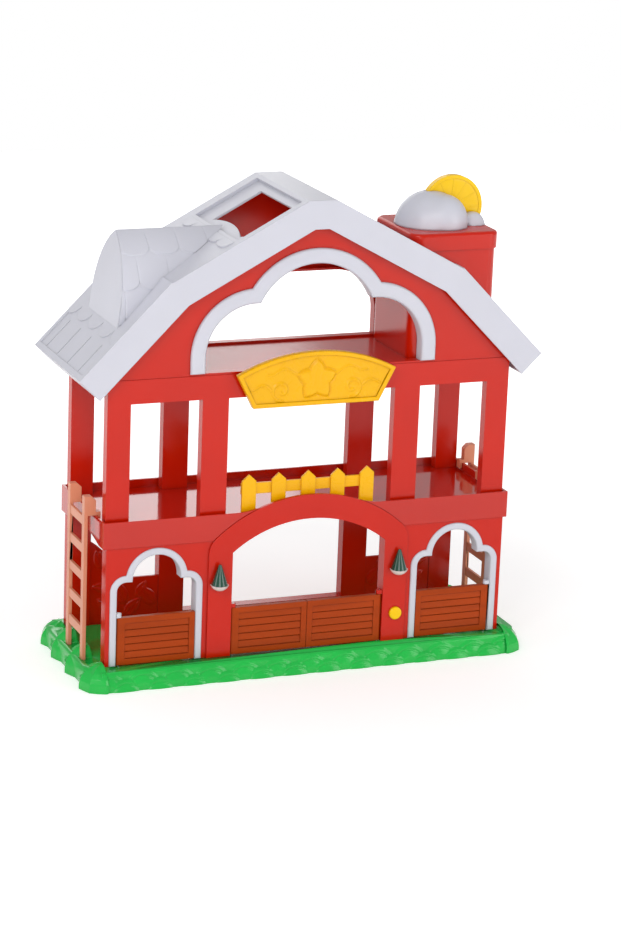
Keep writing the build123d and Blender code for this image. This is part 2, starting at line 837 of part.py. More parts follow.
def rear_gable_frame():
    """Rear frame with a plain round-cornered opening, without the sign's stud holes."""
    opening, edge = rear_arch(0, gable_foot_z), rear_arch(wall, gable_foot_z)
    frame = upper_frame(opening, rear_arch(wall, gable_foot_z - wall), edge)
    plugged = frame + facade(sign_stud_outline(), (-frame_face, -frame_face + frame_skin))
    return turned_back(plugged)


def loft_floor():
    """Floor plate between the two frames, resting on the upper flanges of their beams."""
    half_x = storey_half_width - wall - loft_seat_gap
    half_y = frame_face - frame_skin
    return slab((-half_x, half_x), (-half_y, half_y), (loft_floor_low, loft_floor_top))


def gable_trim():
    """White trefoil trim of the front gable, with its sleeve through the opening."""
    below = gable_foot_z - 1
    opening = gable_arch(-gable_trim_width, below)
    flange = gable_arch(0) - opening
    liner = gable_arch(-gable_trim_width + sleeve) - opening
    trim = facade(flange, (-frame_face - gable_trim_proud, -frame_face))
    return trim + facade(liner, (-frame_face - gable_trim_proud / 2, -frame_back))


# ================================================================ sign
def sign_outline(inset):
    """Sign board's outline: arched top, sloping ends, every edge moved in by inset."""
    rise = sign_crown - sign_shoulder
    radius = (sign_half_top ** 2 + rise ** 2) / (2 * rise)
    centre_z = sign_crown - radius
    lean = (sign_half_top - sign_half_bottom) / (sign_shoulder - sign_low)
    shift = inset * sqrt(1 + lean ** 2)
    low, high = sign_low + inset, sign_crown
    half_low = sign_half_bottom + lean * inset - shift
    half_high = sign_half_bottom + lean * (high - sign_low) - shift
    sides = Polygon((-half_low, low), (half_low, low), (half_high, high), (-half_high, high), align=None)
    return sides & disc(0, centre_z, radius - inset)


def sign_stud_outline():
    """Circles where the sign's studs meet the beam."""
    return both_sides(disc(sign_stud_half_spacing, sign_stud_z, sign_stud_radius))


def sign_stud_holes():
    """Holes in the beam for the sign's studs."""
    return facade(sign_stud_outline(), (-frame_face - 1, -frame_face + frame_skin))


def star_points():
    """Corners of the five-pointed star on the sign."""
    points = []
    for index in range(10):
        reach = star_radius if index % 2 == 0 else star_waist
        angle = radians(90 + 36 * index)
        points.append((reach * cos(angle), star_z + reach * sin(angle)))
    return points


def sign_scroll(x):
    """Open ring beside the star."""
    ring = disc(x, scroll_z, scroll_radius) - disc(x, scroll_z, scroll_radius - scroll_rib)
    return ring - block((x - 2 * scroll_radius, x), (scroll_z - 2 * scroll_radius, scroll_z))


def sign_board():
    """Yellow sign on two studs, hollow behind, with a raised rim, a star and two scrolls."""
    skirt_y = sign_face + sign_depth
    face = sign_face + sign_recess
    board = facade(sign_outline(0), (sign_face, skirt_y))
    board -= facade(sign_outline(sign_rim), (sign_face, face))
    board -= facade(sign_outline(sign_wall), (face + sign_wall, skirt_y))
    ornament = Polygon(*star_points(), align=None) & sign_outline(sign_rim)
    scrolls = sign_scroll(scroll_x) + mirrored(sign_scroll(scroll_x))
    board += facade(ornament, (face - relief, face + sign_wall / 2))
    board += facade(scrolls, (face - relief, face + sign_wall / 2))
    return board + facade(sign_stud_outline(), (face + sign_wall / 2, -frame_face + frame_skin))


# ================================================================ roof
def slope_length():
    """Length of a lower slope from knee to eave."""
    return hypot(eave[0] - knee[0], knee[1] - eave[1])


def lower_slope_relief():
    """Shingle row, board grooves and raised border of the left-hand lower slope."""
    length = slope_length()
    middle = (roof_front + roof_back) / 2
    rows = block((roof_front, roof_back), (0, scallop_row_end - scallop_radius))
    for index in range(-2, 3):
        rows += disc(middle + index * scallop_pitch, scallop_row_end - scallop_radius, scallop_radius)
    rows = rows & block((roof_front, roof_back), (0, length))
    border = block((roof_front, roof_back), (0, length))
    border -= block((roof_front + slope_border, roof_back - slope_border), (-1, length - slope_border))
    raised = on_slope(knee, lower_normal, rows + border, (-relief, roof_skin / 2))
    grooves = []
    for index in range(-2, 2):
        y = middle + (index + 0.5) * scallop_pitch
        line = block((y - groove_width / 2, y + groove_width / 2), (board_start, length - slope_border - 1))
        grooves.append(on_slope(knee, lower_normal, line, (-relief, relief)))
    return raised, grooves


def dormer_arch(grow):
    """Side view of the dormer: a pointed arch on short jambs."""
    rise = dormer_apex_z - dormer_spring_z
    radius = (rise ** 2 + dormer_half_width ** 2) / (2 * dormer_half_width)
    offset = radius - dormer_half_width
    half = dormer_half_width + grow
    point = disc(dormer_y + offset, dormer_spring_z, radius + grow)
    point = point & disc(dormer_y - offset, dormer_spring_z, radius + grow)
    point = point & block((dormer_y - half, dormer_y + half), (dormer_spring_z, dormer_apex_z + radius))
    foot = block((dormer_y - half, dormer_y + half), (eave[1], dormer_spring_z))
    return point + foot


def dormer_solid(grow, front_shift, depth, back_x):
    """Dormer between its leaning front and back_x, above the given depth in the roof."""
    lean = (dormer_front_high[0] - dormer_front_low[0]) / (dormer_front_high[1] - dormer_front_low[1])
    low_z, high_z = eave[1], dormer_apex_z + 10
    low_x = dormer_front_low[0] + lean * (low_z - dormer_front_low[1]) + front_shift
    high_x = dormer_front_low[0] + lean * (high_z - dormer_front_low[1]) + front_shift
    profile = Polygon((low_x, low_z), (high_x, high_z), (back_x, high_z), (back_x, low_z), align=None)
    profile -= under_roof(depth)
    width = 2 * dormer_half_width
    long = flank(dormer_arch(grow), (-eave[0], back_x))
    return long & facade(profile, (dormer_y - width, dormer_y + width))


def skylight_tray(grow):
    """Sunk tray round the skylight as a solid block."""
    sketch = block((tray_y[0] - grow, tray_y[1] + grow), (-tray_s[1] - grow, -tray_s[0] + grow))
    return on_slope_up(sketch, (0, tray_depth + grow))


def on_slope_up(sketch, depth):
    """Solid on the left-hand upper slope; the sketch's second axis is minus the way down."""
    return on_slope(ridge, upper_normal, mirror(sketch, about=Plane.XZ), depth)


def skylight_cuts():
    """Pocket and scalloped opening of the skylight."""
    pocket = block((tray_y[0] + wall, tray_y[1] - wall), (-tray_s[1] + wall, -tray_s[0] - wall))
    opening = block(skylight_y, (-skylight_s[1], -skylight_s[0]))
    drop = skylight_s[1] - skylight_scallop_rise + skylight_scallop_radius
    for y in (skylight_scallop_y, skylight_scallop_y - skylight_scallop_pitch):
        opening -= disc(y, -drop, skylight_scallop_radius)
    return on_slope_up(pocket, (-relief, tray_sunk)), on_slope_up(opening, (0, tray_depth + 1))


def tower_clearance():
    """Room that the roof leaves for the tower and its lid."""
    gap = roof_gap
    low, high = tower_x
    half = tower_half_depth
    body = slab((low - gap, high + gap), (-half - gap, half + gap), (loft_floor_top, lid_top))
    reach = lid_overhang + gap
    shaft_z = (lid_skirt_low - gap, ridge[1])
    return body + slab((low - reach, high + reach), (-half - reach, half + reach), shaft_z)


def roof():
    """White roof: skin, fascias and eave skirts, dormer, sunk skylight and the tower's cut-out."""
    body = facade(roof_layer(0, roof_skin), (roof_front, roof_back))
    edge = roof_layer(0, fascia)
    body += facade(edge, (roof_front, roof_front + roof_skin))
    body += facade(edge, (roof_back - roof_skin, roof_back))
    skirt = block((roof_front, roof_back), (slope_length() - roof_skin, slope_length()))
    left_skirt = on_slope(knee, lower_normal, skirt, (0, fascia))
    body += left_skirt + mirrored(left_skirt)
    raised, grooves = lower_slope_relief()
    body += raised + mirrored(raised)
    for groove in grooves:
        body -= groove
        body -= mirrored(groove)
    body += dormer_solid(0, 0, roof_skin / 2, -ridge[0])
    body -= dormer_solid(-wall, wall, roof_skin + 1, dormer_vault_end)
    body += skylight_tray(0)
    pocket, opening = skylight_cuts()
    body -= pocket
    body -= opening
    return body - tower_clearance()


# ================================================================ tower, cloud and sun
def tower_plan(grow):
    """Plan of the tower, moved out by grow."""
    middle = sum(tower_x) / 2
    width = tower_x[1] - tower_x[0] + 2 * grow
    return Pos(middle, 0) * RectangleRounded(width, 2 * (tower_half_depth + grow), tower_corner + grow)


def tower_box():
    """Red box that stands on the loft floor and comes out through the roof, open on top."""
    outer = Pos(0, 0, loft_floor_top) * extrude(tower_plan(0), tower_top - loft_floor_top)
    inner = Pos(0, 0, loft_floor_top + wall) * extrude(tower_plan(-wall), tower_top - loft_floor_top)
    return outer - inner


def sun_slot(grow):
    """Room that the sun needs as it turns."""
    half = sun_thickness / 2 + grow
    return spindle(sun_x, sun_z, sun_radius + grow, (-half, half))


def tower_lid():
    """Red lid over the tower, slotted for the sun, with two saddles under its axle."""
    lid = Pos(0, 0, lid_skirt_low) * extrude(tower_plan(lid_overhang), lid_top - lid_skirt_low)
    lid = fillet(lid.faces().sort_by(Axis.Z)[-1].edges(), lid_round)
    lid -= Pos(0, 0, lid_skirt_low) * extrude(tower_plan(seating), tower_top - lid_skirt_low)
    lid -= sun_slot(sun_gap)
    half = axle_radius + turning - seating
    for side in (-1, 1):
        y = sorted((side * (cloud_slot_half + seating), side * (cloud_slot_half + cheek - seating)))
        lid += slab((sun_x - half, sun_x + half), y, (lid_top - 1, sun_z))
        lid -= spindle(sun_x, sun_z, axle_radius + turning, y)
    return lid


def cloud_body(inset):
    """Overlapping round lobes that stand on the lid, every face moved in by inset."""
    return fused([dome(x, y, lid_top, reach, height, inset) for x, y, reach, height in cloud_lobes])


def cloud():
    """White cloud: a thin shell slit for the sun, with two cheeks that hold its axle down."""
    shell = cloud_body(0) - cloud_body(cloud_wall)
    reach = sun_radius + sun_gap
    across = (sun_x - reach - cloud_wall, sun_x + reach)
    cheeks = slab(across, (-cloud_slot_half - cheek, cloud_slot_half + cheek), (lid_top, ridge[1]))
    shell += cloud_body(cloud_wall / 2) & cheeks
    slit = (-cloud_slot_half, cloud_slot_half)
    shell -= spindle(sun_x, sun_z, reach, slit)
    shell -= slab((sun_x, sun_x + 2 * reach), slit, (lid_top - 1, ridge[1]))
    bearing = axle_radius + turning
    span = (-cloud_slot_half - cheek, cloud_slot_half + cheek)
    shell -= slab((sun_x - bearing, sun_x + bearing), span, (lid_top - 1, sun_z))
    return shell - spindle(sun_x, sun_z, bearing, span)


def sun_disc():
    """Yellow sun: a disc with a raised rim, a hub and wedge-shaped rays on both faces."""
    half = sun_thickness / 2
    body = spindle(sun_x, sun_z, sun_radius, (-half, half))
    ring = disc(sun_x, sun_z, sun_radius - sun_rim) - disc(sun_x, sun_z, sun_hub)
    for index in range(sun_rays):
        angle = 360 * index / sun_rays
        ray = Polygon((0, sun_ray_width / 2), (0, -sun_ray_width / 2), (sun_radius, 0), align=None)
        ring -= Pos(sun_x, sun_z) * Rot(0, 0, angle) * ray
    body -= facade(ring, (-half, -half + sun_recess))
    body -= facade(ring, (half - sun_recess, half))
    return body - spindle(sun_x, sun_z, axle_radius, (-half, half))


def sun_axle():
    """Steel axle pressed through the sun's hub."""
    half = cloud_slot_half + cheek - seating
    return spindle(sun_x, sun_z, axle_radius, (-half, half))


# ================================================================ lamps and sound unit
def lamp_peg_z():
    """Height of the peg that holds a lamp on the wall."""
    return (lamp_apex_z + 2 * lamp_rim_z) / 3


def behind_lamp():
    """Everything behind the wall's face, to cut a lamp flat."""
    far = 2 * storey_half_width
    return slab((-far, far), (-band_face, 0), (base_height, wall_top))


def lamp_shade(side):
    """Dark green cone of a wall lamp, flat against the wall, with a peg into it."""
    height = lamp_apex_z - lamp_rim_z
    cone = Cone(lamp_rim_radius, lamp_tip_radius, height)
    cone = Pos(side * lamp_x, lamp_axis_y, lamp_rim_z + height / 2) * cone
    peg = spindle(side * lamp_x, lamp_peg_z(), lamp_peg_radius, (lamp_axis_y, -wall_face + wall))
    return cone - behind_lamp() + peg


def lamp_bowl(side):
    """Pale round bowl under a lamp's shade."""
    cap = mirror(dome(side * lamp_x, lamp_axis_y, -lamp_rim_z, bowl_radius, bowl_drop), about=Plane.XY)
    return cap - behind_lamp()


def flange_front():
    """Front of the button's flange, just behind the wall's skin."""
    return -wall_face + wall + 2 * button_bore_gap


def sound_button():
    """Yellow push button through the pilaster, with a flange that keeps it in."""
    front = -band_face - button_proud
    flange_back = flange_front() + button_flange_thickness
    cap = spindle(button_x, button_z, button_radius, (front, flange_back))
    rim = cap.faces().sort_by(Axis.Y)[0].edges()
    cap = fillet(rim, button_proud / 2)
    return cap + spindle(button_x, button_z, button_flange, (flange_front(), flange_back))


def button_spring():
    """Coil spring between the button's flange and the circuit board."""
    start = flange_front() + button_flange_thickness + spring_wire / 2
    length = board_y - spring_wire / 2 - start
    radius = button_spring_radius
    pitch, foot = length / spring_turns, (button_x, start, button_z)
    path = Helix(pitch, length, radius, center=foot, direction=(0, 1, 0))
    section = Plane(origin=path @ 0, z_dir=path % 0) * Circle(spring_wire / 2)
    return sweep(section, path=path)


def sound_case():
    """Black case of the sound unit, open towards the wall, with a hatch for the cells."""
    face = -wall_face + wall
    case = slab(case_x, (face, case_back), case_z)
    inner_x = (case_x[0] + case_wall, case_x[1] - case_wall)
    inner_z = (case_z[0] + case_wall, case_z[1] - case_wall)
    case -= slab(inner_x, (face - 1, case_back - case_wall), inner_z)
    case -= slab(door_span(0), (case_back - case_wall, case_back), battery_door_z)
    grille_y = (case_back - case_wall - 1, case_back + 1)
    for column in (-1, 0, 1):
        for row in (-1, 0, 1):
            x, z = sum(case_x) / 2 + grille_pitch * column, speaker_z + grille_pitch * row
            case -= spindle(x, z, grille_hole_radius, grille_y)
    return case


def door_span(grow):
    """Span along X of the hatch over the cells."""
    middle = sum(case_x) / 2
    return middle - battery_door_width / 2 + grow, middle + battery_door_width / 2 - grow


def battery_door():
    """Hatch over the cells, held by one screw."""
    z = (battery_door_z[0] + seating, battery_door_z[1] - seating)
    hatch = slab(door_span(seating), (case_back - case_wall, case_back), z)
    return hatch - spindle(sum(case_x) / 2, sum(z) / 2, screw_shank, (case_back - case_wall, case_back))


def battery_screw():
    """Screw of the hatch, its head outside."""
    x, z = sum(case_x) / 2, sum(battery_door_z) / 2
    head = spindle(x, z, screw_head, (case_back, case_back + 1.5))
    return head + spindle(x, z, screw_shank, (case_back - case_wall - 1, case_back))


def circuit_board():
    """Circuit board behind the button."""
    inner_x = (case_x[0] + case_wall + seating, case_x[1] - case_wall - seating)
    inner_z = (case_z[0] + case_wall + seating, case_z[1] - case_wall - seating)
    return slab(inner_x, (board_y, board_y + board_thickness), inner_z)


def speaker():
    """Small round loudspeaker behind the circuit board."""
    back = case_back - case_wall
    middle = sum(case_x) / 2
    magnet_front = board_y + board_thickness + speaker_gap
    frame = spindle(middle, speaker_z, speaker_radius, (back - speaker_rim, back))
    return frame + spindle(middle, speaker_z, speaker_radius / 2, (magnet_front, back - speaker_rim))


def button_cells():
    """Two button cells side by side under the speaker."""
    low = board_y + board_thickness
    cells = []
    for side in (-1, 1):
        x = sum(case_x) / 2 + side * (cell_radius + passing)
        cells.append(spindle(x, cell_z, cell_radius, (low, low + cell_thickness)).solid())
    return Compound(children=cells)


# ================================================================ ladders
def hook_outline(x):
    """Front view of a rail's head, with a tongue over the deck's rim that drops a lip behind it."""
    inner = ladder_outer - hook_reach
    lip = deck_half_width - deck_apron - passing
    points = [(ladder_outer, hook_low), (ladder_outer, ladder_top), (inner + hook_chamfer, ladder_top),
              (inner, ladder_top - hook_chamfer), (inner, hook_low)]
    head = Polygon(*points, align=None)
    bearer = block((lip - lip_thickness, ladder_outer), (deck_rim, hook_low + 1))
    drop = block((lip - lip_thickness, lip), (deck_rim - lip_drop, hook_low + 1))
    return mirror(head + bearer + drop, about=Plane.YZ) if x < 0 else head + bearer + drop


def ladder(side, middle_y):
    """Tan ladder that hooks over the deck's rim and stands in two sockets in the base."""
    x = sorted((side * ladder_outer, side * (ladder_outer - ladder_thickness)))
    rails = []
    for y in ladder_rails(middle_y):
        stile = slab(x, rail_span(y), (ladder_foot_z, ladder_top))
        rails.append(stile + facade(hook_outline(side), rail_span(y)))
    body = fused(rails)
    middle_x = sum(x) / 2
    rung_x = (middle_x - rung_thickness / 2, middle_x + rung_thickness / 2)
    low_y, high_y = ladder_rails(middle_y)
    for z in rung_z:
        body += slab(rung_x, (low_y, high_y), (z - rung_height / 2, z + rung_height / 2))
    return body


# ================================================================ the pieces
os.makedirs("parts", exist_ok=True)

save("base_plate", base_plate())
save("base_screws", base_screws())
save("front_wall", front_wall())
save("rear_wall", rear_wall())
save("left_door_trim", door_trim(-1))
save("right_door_trim", door_trim(1))

side_free_x = side_door_centre - door_opening_x + passing
save("left_side_door", half_door(-side_hinge_x, -side_free_x))
save("centre_left_door", half_door(-centre_hinge_x, -door_meeting_gap / 2))
save("centre_right_door", half_door(centre_hinge_x, door_meeting_gap / 2))
save("right_side_door", half_door(side_hinge_x, side_free_x))
save("door_hinge_pins", door_hinge_pins())

save("deck", deck())
save("picket_fence", picket_fence())
save("front_gable_frame", front_gable_frame())
save("rear_gable_frame", rear_gable_frame())
save("loft_floor", loft_floor())
save("gable_trim", gable_trim())
save("sign_board", sign_board())
save("roof", roof())

save("tower_box", tower_box())
save("tower_lid", tower_lid())
save("cloud", cloud())
save("sun_disc", sun_disc())
save("sun_axle", sun_axle())

save("left_lamp_shade", lamp_shade(-1))
save("left_lamp_bowl", lamp_bowl(-1))
save("right_lamp_shade", lamp_shade(1))
save("right_lamp_bowl", lamp_bowl(1))

save("sound_button", sound_button())
save("button_spring", button_spring())
save("sound_case", sound_case())
save("battery_door", battery_door())
save("battery_screw", battery_screw())
save("circuit_board", circuit_board())
save("speaker", speaker())
save("button_cells", button_cells())

save("left_ladder", ladder(-1, left_ladder_y))
save("right_ladder", ladder(1, right_ladder_y))
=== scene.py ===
import math

import bmesh
import bpy
from mathutils import Matrix, Vector


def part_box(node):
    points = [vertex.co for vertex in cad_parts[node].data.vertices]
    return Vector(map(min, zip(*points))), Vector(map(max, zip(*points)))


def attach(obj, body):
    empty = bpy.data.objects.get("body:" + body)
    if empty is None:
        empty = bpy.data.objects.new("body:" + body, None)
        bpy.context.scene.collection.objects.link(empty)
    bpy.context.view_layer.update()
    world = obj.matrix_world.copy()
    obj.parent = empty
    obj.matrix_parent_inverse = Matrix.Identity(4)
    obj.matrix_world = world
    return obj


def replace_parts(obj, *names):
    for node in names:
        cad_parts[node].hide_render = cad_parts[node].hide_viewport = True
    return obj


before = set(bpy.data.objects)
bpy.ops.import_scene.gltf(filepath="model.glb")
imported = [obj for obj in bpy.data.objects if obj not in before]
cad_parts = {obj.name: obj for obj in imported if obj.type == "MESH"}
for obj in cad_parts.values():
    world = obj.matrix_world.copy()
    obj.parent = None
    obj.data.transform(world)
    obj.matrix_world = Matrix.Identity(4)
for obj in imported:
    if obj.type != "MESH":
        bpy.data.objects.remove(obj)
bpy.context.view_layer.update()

# ---------------------------------------------------------------- base
# The base is one shallow tray, injection moulded in glossy grass green. Its front and back are rows of low
# hills. The barn's walls are screwed down to it from below.


def wired(tree, kind, settings=None, **inputs):
    """A shader node with its settings, sockets filled with a value or joined to another node's socket."""
    node = tree.nodes.new(kind)
    for name, value in (settings or {}).items():
        setattr(node, name, value)
    for name, value in inputs.items():
        key = int(name[1:]) if name[0] == "_" and name[1:].isdigit() else name.replace("_", " ")
        if isinstance(value, bpy.types.NodeSocket):
            tree.links.new(value, node.inputs[key])
        else:
            node.inputs[key].default_value = value
    return node


def moulded_plastic(name, colour, gloss=0.26, shade=0.05, grain=0.15, soft_edge=0.0006, coat=0.0, glow=0.0,
                    flow=(14, 14, 14), rub=0.25, mirror=0.42):
    """Injection-moulded plastic: slightly uneven colour, sink marks, a fine skin, lighter rubbed edges and painted
    shade in creases.
    """
    finish = bpy.data.materials.new(name)
    finish.use_nodes = True
    tree = finish.node_tree
    shader = tree.nodes["Principled BSDF"]
    place = wired(tree, "ShaderNodeTexCoord").outputs["Object"]
    along = wired(tree, "ShaderNodeMapping", Vector=place, Scale=flow).outputs[0]
    cloudy = wired(tree, "ShaderNodeTexNoise", Vector=along, Scale=1.0, Detail=2.0, Roughness=0.5).outputs["Fac"]
    skin = wired(tree, "ShaderNodeTexNoise", Vector=place, Scale=1400.0, Detail=2.0, Roughness=0.6).outputs["Fac"]
    scuffs = wired(tree, "ShaderNodeTexNoise", Vector=place, Scale=45.0, Detail=6.0, Roughness=0.75,
                   Distortion=2.0).outputs["Fac"]

    rounded = wired(tree, "ShaderNodeBevel", {"samples": 4}, Radius=soft_edge).outputs["Normal"]
    flat = wired(tree, "ShaderNodeNewGeometry").outputs["Normal"]
    turn = wired(tree, "ShaderNodeVectorMath", {"operation": "DOT_PRODUCT"}, _0=rounded, _1=flat).outputs["Value"]
    rubbed = wired(tree, "ShaderNodeMapRange", Value=turn, **{"From_Min": 0.97, "From_Max": 0.8, "To_Min": 0.0,
                                                              "To_Max": rub}).outputs["Result"]
    rubbed = wired(tree, "ShaderNodeMath", {"operation": "MULTIPLY"}, _0=rubbed, _1=scuffs).outputs[0]

    deep = [c * (1 - shade) for c in colour] + [1]
    lit = [min(1, c * (1 + shade)) for c in colour] + [1]
    worn = [min(1, c * 0.85 + 0.12) for c in colour] + [1]
    tint = wired(tree, "ShaderNodeValToRGB", Fac=cloudy)
    tint.color_ramp.elements[0].position, tint.color_ramp.elements[0].color = 0.3, deep
    tint.color_ramp.elements[1].position, tint.color_ramp.elements[1].color = 0.7, lit
    painted = wired(tree, "ShaderNodeMix", {"data_type": "RGBA"}, _0=rubbed, _6=tint.outputs[0], _7=worn).outputs[2]
    # Painted shade: in creases and recesses, where ambient occlusion is low, the colour is mixed towards a darker copy
    # of itself.
    open_share = wired(tree, "ShaderNodeAmbientOcclusion", {"samples": 6}, Distance=0.006).outputs["AO"]
    shadow = wired(tree, "ShaderNodeMapRange", Value=open_share, **{"From_Min": 0.35, "From_Max": 0.95,
                                                                    "To_Min": 0.42, "To_Max": 0.0}).outputs["Result"]
    crease_shade = [c * 0.45 for c in colour] + [1]
    painted = wired(tree, "ShaderNodeMix", {"data_type": "RGBA"}, _0=shadow, _6=painted, _7=crease_shade).outputs[2]
    tree.links.new(painted, shader.inputs["Base Color"])

    dull = wired(tree, "ShaderNodeMapRange", Value=scuffs, **{"From_Min": 0.45, "From_Max": 0.75,
                                                              "To_Min": gloss - 0.01, "To_Max": gloss + 0.06})
    tree.links.new(dull.outputs["Result"], shader.inputs["Roughness"])
    sink = wired(tree, "ShaderNodeBump", Strength=0.06, Distance=0.002, Height=cloudy, Normal=rounded).outputs[0]
    fine = wired(tree, "ShaderNodeBump", Strength=grain, Distance=0.00005, Height=skin, Normal=sink).outputs[0]
    tree.links.new(fine, shader.inputs["Normal"])
    shader.inputs["Specular IOR Level"].default_value = mirror
    shader.inputs["Coat Weight"].default_value = coat
    shader.inputs["Coat Roughness"].default_value = 0.08
    shader.inputs["Subsurface Weight"].default_value = glow
    shader.inputs["Subsurface Radius"].default_value = (0.004, 0.003, 0.002)
    shader.inputs["Subsurface Scale"].default_value = 0.5
    return finish


def finished(finish, *names, edge=0.0, steps=2):
    """Gives CAD nodes their finish; edge is the radius of the mould's rounded edges."""
    for name in names:
        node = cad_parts[name]
        node.data.materials.clear()
        node.data.materials.append(finish)
        if edge:
            weld = node.modifiers.new("weld", "WELD")
            weld.merge_threshold = 0.00001
            plain = node.modifiers.new("plain", "DECIMATE")
            plain.decimate_type, plain.angle_limit = "DISSOLVE", math.radians(1)
            soft = node.modifiers.new("soft", "BEVEL")
            soft.width, soft.segments, soft.limit_method = edge, steps, "ANGLE"
            soft.angle_limit = math.radians(40)
            soft.use_clamp_overlap = True
            soft.miter_outer = "MITER_ARC"
            node.modifiers.new("even", "WEIGHTED_NORMAL").keep_sharp = True


def new_piece(name, mesh, finish, body, crease=35):
    """A piece from a bmesh: its material, the body it rides on, smooth up to the crease angle."""
    data = bpy.data.meshes.new(name)
    mesh.to_mesh(data)
    mesh.free()
    data.materials.append(finish)
    data.shade_smooth()
    data.set_sharp_from_angle(angle=math.radians(crease))
    piece = bpy.data.objects.new(name, data)
    bpy.context.scene.collection.objects.link(piece)
    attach(piece, body)
    return piece


def own_mesh(name, joined=True):
    """A welded copy of a CAD node's mesh, its flat faces joined or not, to be worked on and stand for it."""
    mesh = bmesh.new()
    mesh.from_mesh(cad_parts[name].data)
    bmesh.ops.remove_doubles(mesh, verts=mesh.verts, dist=0.000005)
    if joined:
        bmesh.ops.dissolve_limit(mesh, angle_limit=math.radians(0.5), verts=mesh.verts, edges=mesh.edges)
    return mesh


def strip(mesh, first, second, turned=False):
    """Faces between two rows of points; turned swaps their outer and inner side."""
    for near, after, far_after, far in zip(first, first[1:], second[1:], second):
        corners = (near, after, far_after, far)
        mesh.faces.new(corners[::-1] if turned else corners)


def sheet_grid(mesh, columns, rows, point, turned=False):
    """A grid of faces whose corners are point(u, v), u and v from 0 to 1."""
    lines = [[mesh.verts.new(point(i / columns, j / rows)) for i in range(columns + 1)] for j in range(rows + 1)]
    for low, high in zip(lines, lines[1:]):
        strip(mesh, low, high, turned)
    return lines


def eased(t):
    """0 below 0, 1 above 1, a soft step between."""
    t = max(0.0, min(1.0, t))
    return t * t * (3 - 2 * t)


BASE_FRONT = 0.0920           # front face of the plain tray, from the middle
BASE_TOP = 0.0220
BASE_HALF = 0.2445
HILL_PITCH = 0.0395
TOP_REACH, FOOT_REACH = 0.0004, 0.0030


def hill_relief(x, z):
    """How far the band's face stands out at x, z: low overlapping hills with a groove along each edge."""
    out = 0.0
    for tier, (crest, radius, lift) in enumerate(((0.0192, 0.024, 0.0), (0.0120, 0.023, 0.0018))):
        shift = 0.5 * tier
        index = round(x / HILL_PITCH - shift)
        for near in (index - 1, index, index + 1):
            dx = x - (near + shift) * HILL_PITCH
            wobble = 0.0012 * math.sin(7.3 * near + 2 * tier)
            inside = radius - math.hypot(dx, z - (crest + wobble - radius))
            if inside > 0:
                dome = 0.0030 * math.sqrt(min(1, inside / 0.012))
                groove = 0.0011 * math.exp(-((inside - 0.0042) / 0.0008) ** 2)
                out = max(out, lift * eased(inside / 0.0010) + dome - groove)
    return out


def band_face(side):
    """The base's long face, front for side -1 and back for +1: leaning out to the ground, with low hills."""
    def point(u, v):
        x = (2 * u - 1) * BASE_HALF
        z = BASE_TOP * v
        round_off = 0.0012 * max(0, v - 0.85) / 0.15
        reach = FOOT_REACH + (TOP_REACH - FOOT_REACH) * v + hill_relief(x, z) * eased((1 - v) / 0.08) - round_off
        reach = min(reach, 0.0079)
        return x, side * (BASE_FRONT + reach), z
    return point


base = own_mesh("base_plate", joined=False)
for side in (-1, 1):
    everything = base.verts[:] + base.edges[:] + base.faces[:]
    bmesh.ops.bisect_plane(base, geom=everything, plane_co=(0, side * BASE_FRONT, 0), plane_no=(0, side, 0),
                           clear_outer=True)
    lines = sheet_grid(base, 460, 22, band_face(side), turned=side > 0)
    inner = [base.verts.new((vert.co.x, side * (BASE_FRONT - 0.0005), BASE_TOP + 0.00002)) for vert in lines[-1]]
    strip(base, lines[-1], inner, turned=side > 0)
    for end in (0, -1):
        column = [line[end] for line in lines]
        back = [base.verts.new((vert.co.x, side * (BASE_FRONT - 0.0005), vert.co.z)) for vert in column]
        strip(base, column, back, turned=(side > 0) == (end == 0))
grass_green = moulded_plastic("grass_green", (0.010, 0.50, 0.065), gloss=0.16, shade=0.05, flow=(30, 30, 30), rub=0.5)
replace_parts(new_piece("base_tray", base, grass_green, "barn"), "base_plate")

# ---------------------------------------------------------------- grass tufts
# Faceted clumps of grass stand along both ends of the base, moulded with it in the same green. Each is a
# leafy cone with ridges running down from its tip, and the ladders' sockets stand between them.
TUFT_RIDGES = 9
TUFT_FOLD = 0.0027
TUFT_STEPS = ((1.0, 0.0), (0.99, 0.2), (0.94, 0.4), (0.84, 0.6), (0.68, 0.79), (0.47, 0.95), (0.24, 1.06))
SIDE_LIMIT = 0.09995


def tuft(mesh, x, y, reach, height, turn):
    """One leafy cone: sharp ridges run down from its tip with folds between them."""
    rings = []
    for share, level in TUFT_STEPS:
        ring = []
        for index in range(2 * TUFT_RIDGES):
            angle = turn + math.pi * index / TUFT_RIDGES
            fold = TUFT_FOLD * (0.55 + 0.45 * level) if index % 2 == 0 else 0.0002
            r = share * reach + fold
            place_y = max(-SIDE_LIMIT, min(SIDE_LIMIT, y + r * math.sin(angle)))
            ring.append(mesh.verts.new((x + r * math.cos(angle), place_y, height * level)))
        rings.append(ring)
    tip = mesh.verts.new((x, y, height * 1.13))
    count = 2 * TUFT_RIDGES
    for low, high in zip(rings, rings[1:]):
        for index in range(count):
            after = (index + 1) % count
            mesh.faces.new((low[index], low[after], high[after], high[index]))
    for index in range(count):
        mesh.faces.new((rings[-1][index], rings[-1][(index + 1) % count], tip))


